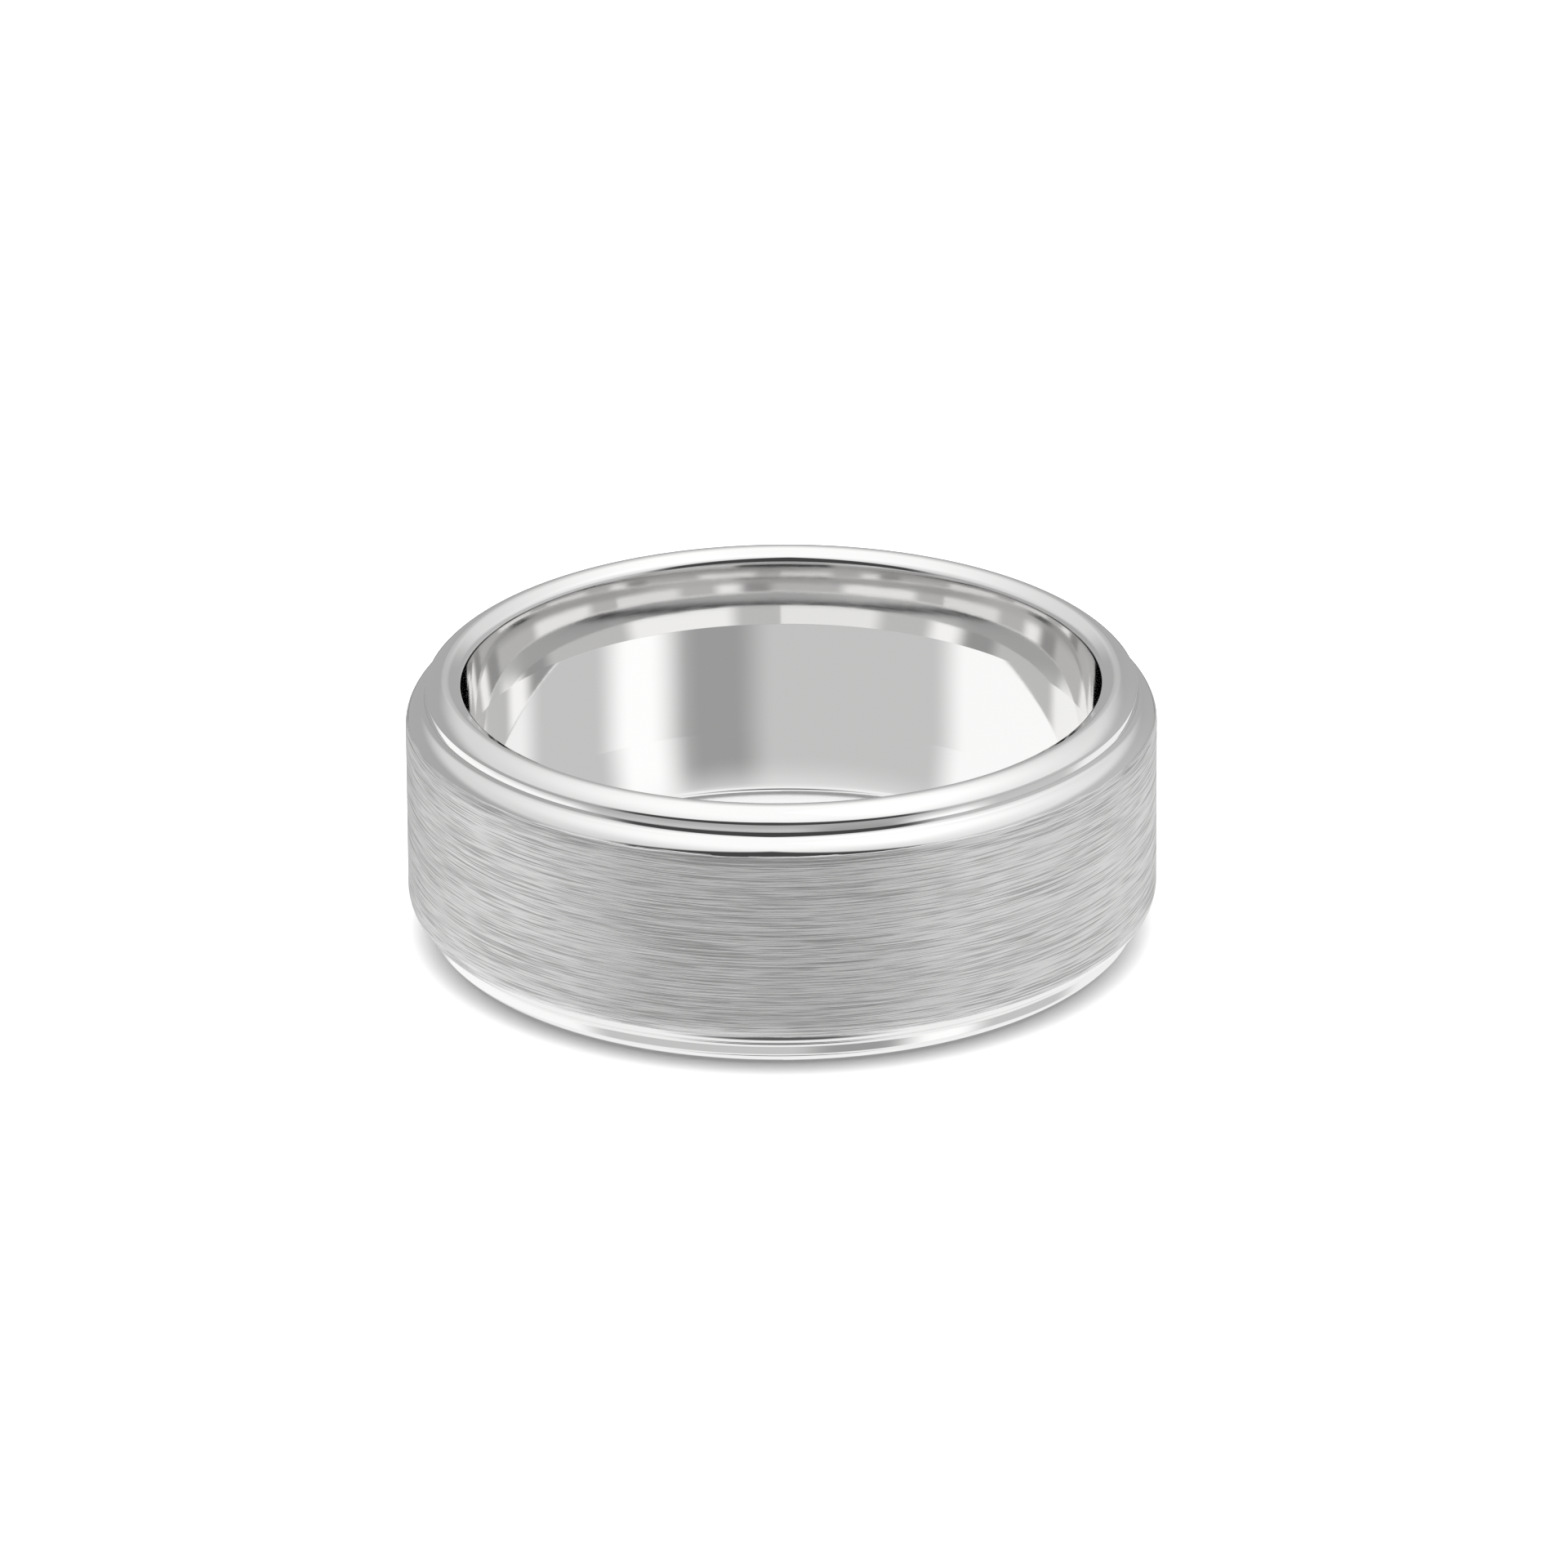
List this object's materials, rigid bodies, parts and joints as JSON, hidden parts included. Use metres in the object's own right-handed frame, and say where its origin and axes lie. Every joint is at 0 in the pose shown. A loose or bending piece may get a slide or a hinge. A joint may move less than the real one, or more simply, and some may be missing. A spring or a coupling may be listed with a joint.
{
  "type": "wedding band",
  "caption": "Plain finger ring with a raised brushed centre band, polished domed rims and a comfort-fit bore.",
  "frame": {"origin": "on the axis of the finger bore, half way across the width", "axes": "+Z along the axis of the bore; the ring is the same all the way round, so +X and +Y are arbitrary"},
  "size_m": [0.0222, 0.0222, 0.008],
  "materials": {
    "polished_liner": "mirror-polished white gold",
    "brushed_band": "white gold, brushed round the ring, with polished shoulders",
    "polished_rim": "mirror-polished white gold",
    "solder": "polished white gold solder"
  },
  "bodies": {
    "root": {"comfort_fit_liner": "polished_liner", "centre_band": "brushed_band", "upper_edge_ring": "polished_rim", "lower_edge_ring": "polished_rim", "upper_solder_seam": "solder", "lower_solder_seam": "solder"}
  },
  "joints": []
}
